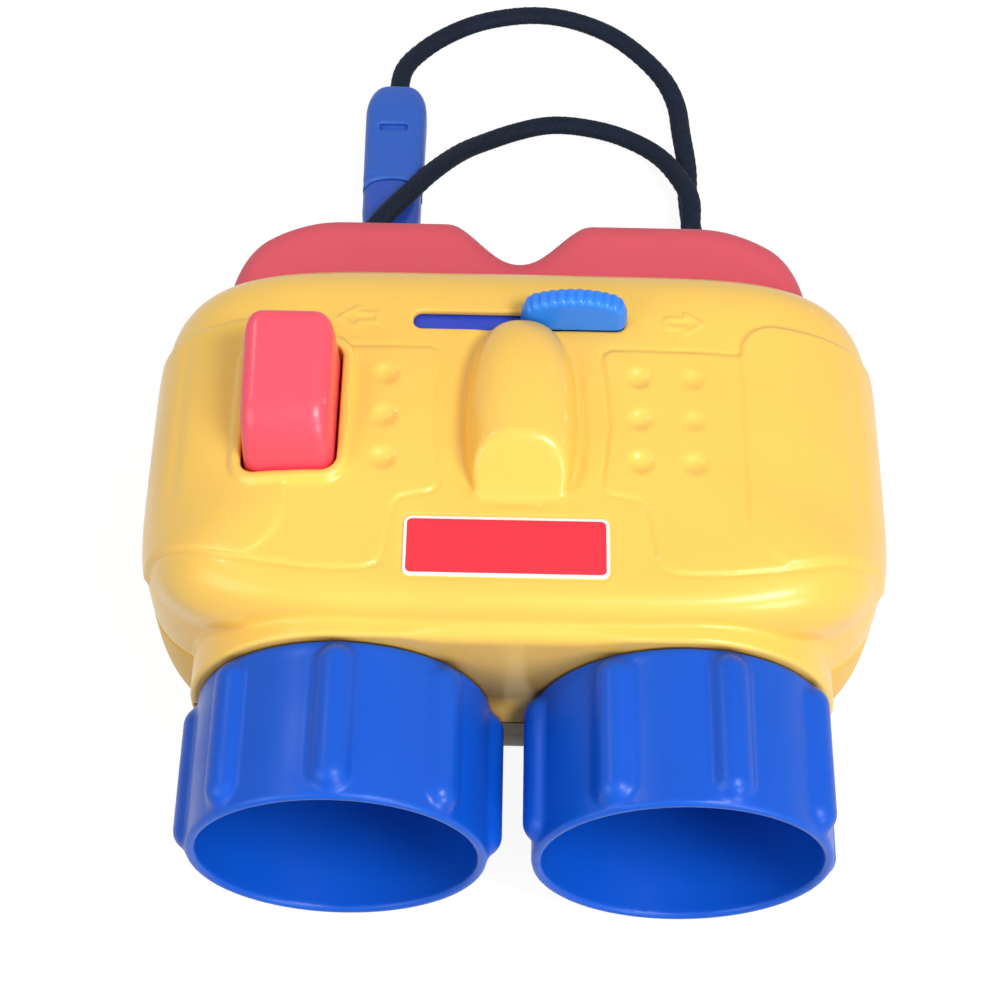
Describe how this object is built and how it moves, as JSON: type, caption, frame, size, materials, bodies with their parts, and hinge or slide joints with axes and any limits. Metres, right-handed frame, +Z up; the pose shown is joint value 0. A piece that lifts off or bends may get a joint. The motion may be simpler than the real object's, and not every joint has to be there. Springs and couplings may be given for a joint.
{
  "type": "toy binoculars",
  "caption": "Toy binoculars: rounded two-part housing with turning ribbed rings, sliding prism view, sprung push button, eye guard with nose notch and a cord strap with clasp.",
  "frame": {"origin": "middle of the footprint of the binoculars without their strap, on the surface they lie on", "axes": "+Z up through the face with the button, +X to the user's right, +Y from the ring mouths to the eye guard"},
  "size_m": [0.1368, 0.2274, 0.0742],
  "materials": {
    "yellow_plastic": "moulded, satin gloss",
    "red_plastic": "soft matte moulded",
    "blue_plastic": "moulded gloss",
    "dark_blue_plastic": "moulded",
    "light_blue_plastic": "moulded gloss",
    "pink_red_plastic": "moulded satin",
    "white_plastic": "moulded",
    "clear_plastic": "clear",
    "steel": "plated",
    "black_cord": "braided",
    "clasp_plastic": "moulded"
  },
  "bodies": {
    "housing": {"upper_shell": "yellow_plastic", "lower_shell": "yellow_plastic", "eye_guard": "red_plastic", "left_objective_lens": "clear_plastic", "right_objective_lens": "clear_plastic", "left_eye_lens": "clear_plastic", "right_eye_lens": "clear_plastic", "button_cradle": "white_plastic", "button_spring": "steel", "case_screw_1": "steel", "case_screw_2": "steel", "case_screw_3": "steel", "case_screw_4": "steel", "strap_outer": "black_cord", "strap_inner": "black_cord", "strap_knot": "black_cord", "clasp_socket": "clasp_plastic", "clasp_plug": "clasp_plastic"},
    "left_ring": {"left_ring": "blue_plastic"},
    "right_ring": {"right_ring": "blue_plastic"},
    "slide": {"view_slide": "dark_blue_plastic", "slider_knob": "light_blue_plastic", "left_prism": "clear_plastic", "right_prism": "clear_plastic"},
    "button": {"push_button": "pink_red_plastic"}
  },
  "joints": [
    {"name": "left_ring_turn", "type": "hinge", "parent": "housing", "child": "left_ring", "pos_m": [-0.03, -0.049, 0.029], "axis": [0, 1, 0], "continuous": true},
    {"name": "right_ring_turn", "type": "hinge", "parent": "housing", "child": "right_ring", "pos_m": [0.03, -0.049, 0.029], "axis": [0, 1, 0], "continuous": true},
    {"name": "view_slide", "type": "slide", "parent": "housing", "child": "slide", "axis": [1, 0, 0], "range_m": [-0.02, 0]},
    {"name": "button_press", "type": "slide", "parent": "housing", "child": "button", "axis": [0, 0, -1], "range_m": [0, 0.005], "stiffness_N_per_m": 400, "springref_m": -0.001, "deforming": ["button_spring"]}
  ]
}
